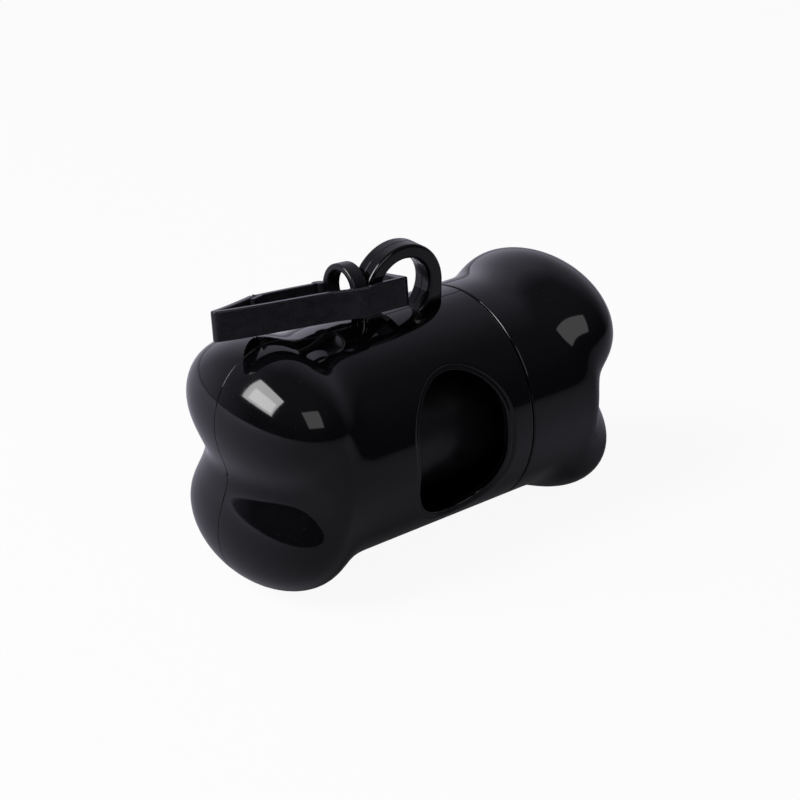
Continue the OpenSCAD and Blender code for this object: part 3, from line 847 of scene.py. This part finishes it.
# %% Polished black ABS
polished_abs, tree, shader, place = new_material("polished_black_abs")
wave = add_node(tree, "ShaderNodeTexNoise", Vector=place, Scale=0.12 * PER_MM, Detail=2.0)
dust = add_node(tree, "ShaderNodeTexNoise", Vector=place, Scale=2.2 * PER_MM, Detail=1.0)
specks = add_node(tree, "ShaderNodeMapRange", Value=dust.outputs["Fac"], From_Min=DUST_RANGE[0],
                  From_Max=DUST_RANGE[1], To_Min=0.0, To_Max=1.0)
tone = add_node(tree, "ShaderNodeMix", {"data_type": "RGBA"}, Factor=specks.outputs["Result"],
                A=srgb("#060507"), B=srgb("#1b1a1e"))
tree.links.new(tone.outputs["Result"], shader.inputs["Base Color"])
relieve(tree, shader, wave.outputs["Fac"], rough=(0.05, 0.10), strength=0.025, depth=0.001)
shader.inputs["IOR"].default_value = 1.53
print("made", polished_abs.name)

# %% [markdown]
# ### Moulded acetal for the clip
# The clip springs, so it is moulded in a tougher plastic from a less polished mould.  Its
# reflections are softer and a little wavy, over lengths of about 1.7 mm.

# %% Moulded acetal
acetal, tree, shader, place = new_material("moulded_black_acetal")
wave = add_node(tree, "ShaderNodeTexNoise", Vector=place, Scale=0.6 * PER_MM, Detail=3.0)
tone = add_node(tree, "ShaderNodeMix", {"data_type": "RGBA"}, Factor=wave.outputs["Fac"],
                A=srgb("#121115"), B=srgb("#25242a"))
tree.links.new(tone.outputs["Result"], shader.inputs["Base Color"])
relieve(tree, shader, wave.outputs["Fac"], rough=(0.16, 0.24), strength=0.12, depth=0.0004)
shader.inputs["IOR"].default_value = 1.48
print("made", acetal.name)

# %% [markdown]
# ### Film and card
# The bag film is thin and creased, so its reflections break up and are duller than the shells'.
# Its creases lie about 6 mm apart.  The tube that it is wound on is plain grey-brown card, with
# fibres drawn 0.5 mm wide.

# %% Film and card
film, tree, shader, place = new_material("black_polythene_film")
crease = add_node(tree, "ShaderNodeTexNoise", Vector=place, Scale=0.16 * PER_MM, Detail=3.0,
                  Distortion=0.3)
tone = add_node(tree, "ShaderNodeMix", {"data_type": "RGBA"}, Factor=crease.outputs["Fac"],
                A=srgb("#0a0a0c"), B=srgb("#1c1b20"))
tree.links.new(tone.outputs["Result"], shader.inputs["Base Color"])
relieve(tree, shader, crease.outputs["Fac"], rough=(0.28, 0.45), strength=0.3, depth=0.0006)

card, tree, shader, place = new_material("grey_card")
fibre = add_node(tree, "ShaderNodeTexNoise", Vector=place, Scale=2.0 * PER_MM, Detail=5.0)
tone = add_node(tree, "ShaderNodeMix", {"data_type": "RGBA"}, Factor=fibre.outputs["Fac"],
                A=srgb("#8c765a"), B=srgb("#b8a382"))
tree.links.new(tone.outputs["Result"], shader.inputs["Base Color"])
shader.inputs["Roughness"].default_value = 0.9
print("made", film.name, "and", card.name)

# %% [markdown]
# ### What each piece is made of
# The working model's own bodies wear the same plastics, because the neck and the sleeve show
# when the cap is off.

# %% What each piece is made of
for thing in (front_shell, rear_shell, cap_shell, neck_thread, cap_thread):
    thing.data.materials.append(polished_abs)
for thing in (clip_frame, clip_gate):
    thing.data.materials.append(acetal)
bag_roll.data.materials.append(film)
roll_core.data.materials.append(card)
for material, names in ((polished_abs, ("neck_ring", "cap_sleeve", "front_shell", "rear_shell",
                                        "cap_shell")),
                        (acetal, ("clip_frame", "clip_gate")),
                        (film, ("bag_roll",)), (card, ("roll_core",))):
    for name in names:
        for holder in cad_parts[name].material_slots:
            holder.material = material

# %% [markdown]
# ## Stage and lights
# The dispenser stands on a table in a dark studio with a pale backdrop.  One softbox lights it
# from the left, brighter in its lower part, and a weaker one from the front.  Glossy black
# plastic shows them all: the table in its lower half, the dark room in its upper half, the
# backdrop along its far edges, and each softbox as a bright patch.  Table, backdrop and room are
# white to the camera.

# %% The backdrop's direction
BACKDROP = math.radians(20)         # azimuth of its middle, from +Y towards +X


def off_backdrop(tree, place):
    """How far a place lies off the backdrop's middle, 0 there and 1 opposite, and its height."""
    parts = add_node(tree, "ShaderNodeSeparateXYZ", Vector=place)
    turn = add_node(tree, "ShaderNodeMath", {"operation": "ARCTAN2"},
                    i0=parts.outputs["X"], i1=parts.outputs["Y"])
    off = add_node(tree, "ShaderNodeMath", {"operation": "SUBTRACT"},
                   i0=turn.outputs[0], i1=BACKDROP)
    off = add_node(tree, "ShaderNodeMath", {"operation": "ABSOLUTE"}, i0=off.outputs[0])
    off = add_node(tree, "ShaderNodeMath", {"operation": "DIVIDE"}, i0=off.outputs[0], i1=math.pi)
    return off.outputs[0], parts.outputs["Z"]


def to_camera(tree, seen):
    """1 for a ray that reaches the camera directly or through something clear, otherwise 0."""
    either = add_node(tree, "ShaderNodeMath", {"operation": "MAXIMUM"},
                      i0=seen.outputs["Is Camera Ray"], i1=seen.outputs["Is Transmission Ray"])
    return either.outputs[0]

# %% [markdown]
# ### The table
# A sheet of white paper.  The camera sees it as plain white; in reflections its colour is painted
# light, brightest under the backdrop and darker towards the dark side of the room.

# %% Table
PAPER_WHITE = 0.93                  # how far the paper is plain white to the camera
PAPER_GLOW = 0.03                   # and how much it glows in reflections
EDGE = 1.6                          # where the table ends, in metres from its middle
floor_mesh = bpy.data.meshes.new("table_top")
floor_mesh.from_pydata([(-EDGE, -EDGE, 0), (EDGE, -EDGE, 0), (EDGE, EDGE, 0), (-EDGE, EDGE, 0)],
                       [], [(0, 1, 2, 3)])
table_top = bpy.data.objects.new("table_top", floor_mesh)
bpy.context.scene.collection.objects.link(table_top)
paper = bpy.data.materials.new("white_paper")
paper.use_nodes = True
tree = paper.node_tree
tree.nodes.clear()
seen = add_node(tree, "ShaderNodeLightPath")
place = add_node(tree, "ShaderNodeTexCoord").outputs["Object"]
off, _ = off_backdrop(tree, place)
# Painted light: in reflections the paper's colour darkens away from the backdrop, in place of light
# falling off.
painted_falloff = add_node(tree, "ShaderNodeValToRGB", Fac=off,
                    stops=[(0.0, "#e4e2ee"), (0.18, "#cfccdc"), (0.3, "#b6b3c2"),
                           (0.5, "#a7a4b2"), (0.8, "#828089")])
colour = add_node(tree, "ShaderNodeMix", {"data_type": "RGBA"},
                  Factor=seen.outputs["Is Glossy Ray"],
                  A=srgb("#f4f4f4"), B=painted_falloff.outputs["Color"])
matt = add_node(tree, "ShaderNodeBsdfDiffuse", Color=colour.outputs["Result"])
glow = add_node(tree, "ShaderNodeEmission", Color=(1, 1, 1, 1), Strength=1.0)
clear = add_node(tree, "ShaderNodeMath", {"operation": "MULTIPLY"},
                 i0=to_camera(tree, seen), i1=PAPER_WHITE)
faint = add_node(tree, "ShaderNodeMath", {"operation": "MULTIPLY"},
                 i0=seen.outputs["Is Glossy Ray"], i1=PAPER_GLOW)
share = add_node(tree, "ShaderNodeMath", {"operation": "MAXIMUM"},
                 i0=clear.outputs[0], i1=faint.outputs[0])
mixed = add_node(tree, "ShaderNodeMixShader",
                 i0=share.outputs[0], i1=matt.outputs[0], i2=glow.outputs[0])
add_node(tree, "ShaderNodeOutputMaterial", Surface=mixed.outputs[0])
floor_mesh.materials.append(paper)

# %% [markdown]
# ### The softboxes
# Each lamp was placed by working back from the bright patch that it leaves on a lobe.

# %% Softboxes
middle = Vector((0, 0, 0.022))      # what the lamps are aimed at


def softbox(name, azimuth, elevation, distance, width, height, watts):
    """A lamp seen from the dispenser at an azimuth from +Y towards +X, and an elevation."""
    a, e = math.radians(azimuth), math.radians(elevation)
    way = Vector((math.sin(a) * math.cos(e), math.cos(a) * math.cos(e), math.sin(e)))
    lamp = bpy.data.lights.new(name, "AREA")
    lamp.shape, lamp.size, lamp.size_y = "RECTANGLE", width, height
    lamp.energy = watts
    thing = bpy.data.objects.new(name, lamp)
    thing.matrix_world = (Matrix.Translation(middle + way * distance)
                          @ way.to_track_quat("Z", "Y").to_matrix().to_4x4())
    bpy.context.scene.collection.objects.link(thing)


softbox("left_softbox", -76, 42, 1.0, 0.57, 0.62, 8.2)
softbox("left_softbox_core", -78, 37, 0.98, 0.42, 0.3, 1.5)
softbox("front_softbox", 189, 40, 1.0, 0.64, 0.5, 1.1)
print(len(bpy.data.lights), "lamps")

# %% [markdown]
# ### The room
# The world is white where the camera looks, and dim with a pale backdrop where the plastic does.

# %% The room
world = bpy.data.worlds.new("room")
bpy.context.scene.world = world
world.use_nodes = True
tree = world.node_tree
tree.nodes.clear()
seen = add_node(tree, "ShaderNodeLightPath")
way = add_node(tree, "ShaderNodeTexCoord").outputs["Generated"]
off, up = off_backdrop(tree, way)
sideways = add_node(tree, "ShaderNodeValToRGB", Fac=off,
                    stops=[(0.0, "#ffffff"), (0.06, "#f0f0f0"), (0.16, "#bcbcbc"),
                           (0.28, "#a8a8a8"), (0.4, "#707070"), (0.52, "#000000")])
upward = add_node(tree, "ShaderNodeValToRGB", Fac=up,
                  stops=[(0.2, "#ffffff"), (0.5, "#d8d8d8"), (0.8, "#b8b8b8"), (0.97, "#000000")])
backdrop = add_node(tree, "ShaderNodeMath", {"operation": "MULTIPLY"},
                    i0=sideways.outputs["Color"], i1=upward.outputs["Color"])
shown = add_node(tree, "ShaderNodeMath", {"operation": "MULTIPLY"},
                 i0=backdrop.outputs[0], i1=seen.outputs["Is Glossy Ray"])
share = add_node(tree, "ShaderNodeMath", {"operation": "MAXIMUM"},
                 i0=to_camera(tree, seen), i1=shown.outputs[0])
dark = add_node(tree, "ShaderNodeValToRGB", Fac=up,
                stops=[(0.0, "#2e2d33"), (0.3, "#35343a"), (1.0, "#56545c")])
dim = add_node(tree, "ShaderNodeBackground", Color=dark.outputs["Color"], Strength=1.0)
tint = add_node(tree, "ShaderNodeMix", {"data_type": "RGBA"},
                Factor=seen.outputs["Is Glossy Ray"], A=(1, 1, 1, 1), B=srgb("#e2dff2"))
white = add_node(tree, "ShaderNodeBackground", Color=tint.outputs["Result"], Strength=1.0)
mixed = add_node(tree, "ShaderNodeMixShader",
                 i0=share.outputs[0], i1=dim.outputs[0], i2=white.outputs[0])
add_node(tree, "ShaderNodeOutputWorld", Surface=mixed.outputs[0])
bpy.context.scene.view_settings.view_transform = "Standard"
